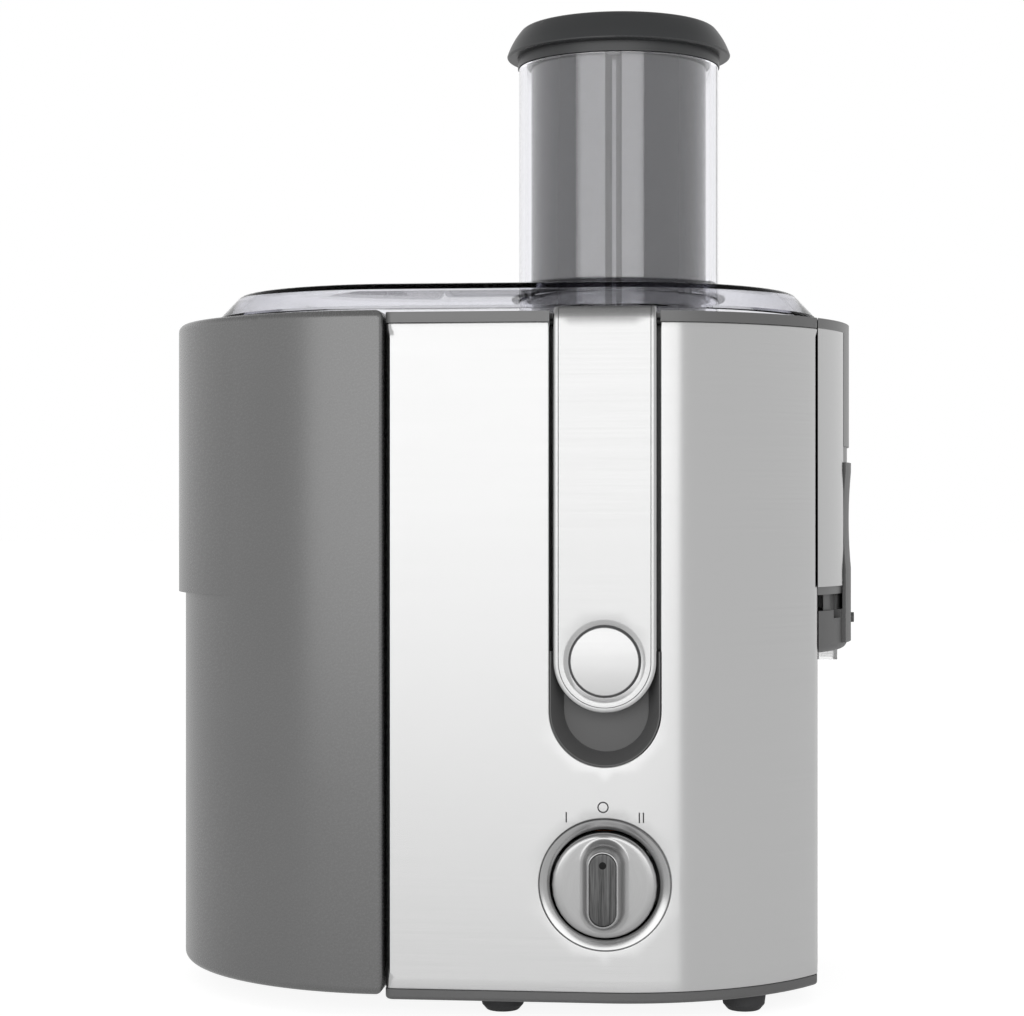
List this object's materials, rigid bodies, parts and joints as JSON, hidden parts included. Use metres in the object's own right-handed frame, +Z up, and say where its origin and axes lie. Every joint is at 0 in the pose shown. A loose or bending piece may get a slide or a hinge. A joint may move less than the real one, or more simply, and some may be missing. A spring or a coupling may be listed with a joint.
{
  "type": "centrifugal juicer",
  "caption": "Centrifugal juicer with a round-ended body, steel front, clear lid and wide feed tube with pusher, front latch, rotary switch, side spout and slide-out pulp container.",
  "frame": {"origin": "on the ground under the middle of the whole machine's outer box", "axes": "+Z up, front (latch and switch) towards -Y, spout towards +X, pulp container towards -X"},
  "size_m": [0.275, 0.2004, 0.3886],
  "materials": {
    "grey_plastic": "satin moulded ABS, mid grey",
    "housing_plastic": "satin moulded ABS, mid grey",
    "tray_plastic": "satin moulded ABS, darker grey",
    "dark_plastic": "satin moulded ABS, charcoal",
    "pusher_plastic": "satin moulded ABS, grey",
    "well_plastic": "fine textured plastic, dark grey",
    "frame_plastic": "moulded nylon, dark grey",
    "clear_plastic": "clear polycarbonate with a faint violet tint",
    "outlet_plastic": "clear polycarbonate",
    "brushed_steel": "stainless steel with a fine horizontal brush",
    "satin_metal": "satin metal finish",
    "dark_metal": "dark brushed inlay",
    "filter_steel": "stainless steel sheet",
    "shaft_steel": "ground steel",
    "rubber": "moulded rubber, black",
    "iron": "stacked electrical steel sheets",
    "copper": "enamelled copper wire, as one solid",
    "commutator_copper": "copper segments",
    "carbon": "pressed carbon",
    "bracket_metal": "die cast aluminium",
    "screw_steel": "zinc plated steel",
    "board": "glass fibre board",
    "component": "moulded electrical parts",
    "fan_plastic": "moulded nylon"
  },
  "bodies": {
    "base": {"base_tray": "tray_plastic", "foot_front_left": "rubber", "foot_front_right": "rubber", "foot_rear_left": "rubber", "foot_rear_right": "rubber", "tray_screws": "screw_steel", "motor_housing": "housing_plastic", "front_panel": "brushed_steel", "finger_well": "well_plastic", "latch_pin": "shaft_steel", "safety_switch": "component", "dial_bezel": "satin_metal", "rotary_switch": "component", "control_board": "board", "board_components": "component", "cord_inlet": "rubber", "motor_mounts": "rubber", "motor_screws": "screw_steel", "top_bracket": "bracket_metal", "low_bracket": "bracket_metal", "bearings": "shaft_steel", "stator_core": "iron", "field_coils": "copper", "brush_holders": "component", "carbon_brushes": "carbon", "juice_bowl": "grey_plastic", "bowl_seal": "rubber", "spout_cladding": "brushed_steel", "spout_outlet": "outlet_plastic", "lid": "clear_plastic", "feed_tube": "clear_plastic"},
    "rotor": {"motor_shaft": "shaft_steel", "armature_core": "iron", "armature_windings": "copper", "commutator": "commutator_copper", "cooling_fan": "fan_plastic", "drive_coupling": "frame_plastic", "filter_hub": "dark_plastic", "grater_disc": "filter_steel", "filter_nut": "screw_steel", "filter_cone": "filter_steel", "filter_rim": "dark_plastic"},
    "knob": {"switch_knob": "satin_metal", "knob_inlay": "dark_metal", "switch_shaft": "shaft_steel"},
    "latch": {"latch_skin": "brushed_steel", "thumb_disc": "satin_metal", "latch_frame": "frame_plastic"},
    "plunger": {"safety_plunger": "frame_plastic"},
    "container": {"pulp_container": "grey_plastic"},
    "pusher": {"pusher_body": "pusher_plastic", "pusher_cap": "dark_plastic"},
    "drip_stop_slide": {"drip_stop": "well_plastic"}
  },
  "joints": [
    {"name": "rotor_spin", "type": "hinge", "parent": "base", "child": "rotor", "pos_m": [0.0425, 0.00525, 0.1], "axis": [0, 0, 1], "continuous": true},
    {"name": "switch_turn", "type": "hinge", "parent": "base", "child": "knob", "pos_m": [0.0425, -0.08775, 0.051], "axis": [0, -1, 0], "range_deg": [-30, 30]},
    {"name": "latch_swing", "type": "hinge", "parent": "base", "child": "latch", "pos_m": [0.0425, -0.08275, 0.259], "axis": [-1, 0, 0], "range_deg": [0, 90]},
    {"name": "plunger_slide", "type": "slide", "parent": "base", "child": "plunger", "axis": [0, -1, 0], "range_m": [0, 0.003]},
    {"name": "container_slide", "type": "slide", "parent": "base", "child": "container", "axis": [-1, 0, 0], "range_m": [0, 0.11]},
    {"name": "pusher_lift", "type": "slide", "parent": "base", "child": "pusher", "axis": [0, 0, 1], "range_m": [0, 0.17]},
    {"name": "drip_stop_lift", "type": "slide", "parent": "base", "child": "drip_stop_slide", "axis": [0, 0, 1], "range_m": [0, 0.006]}
  ],
  "couplings": [
    {"joint": "plunger_slide", "follows": "latch_swing", "m_per_rad": 0.0019}
  ]
}
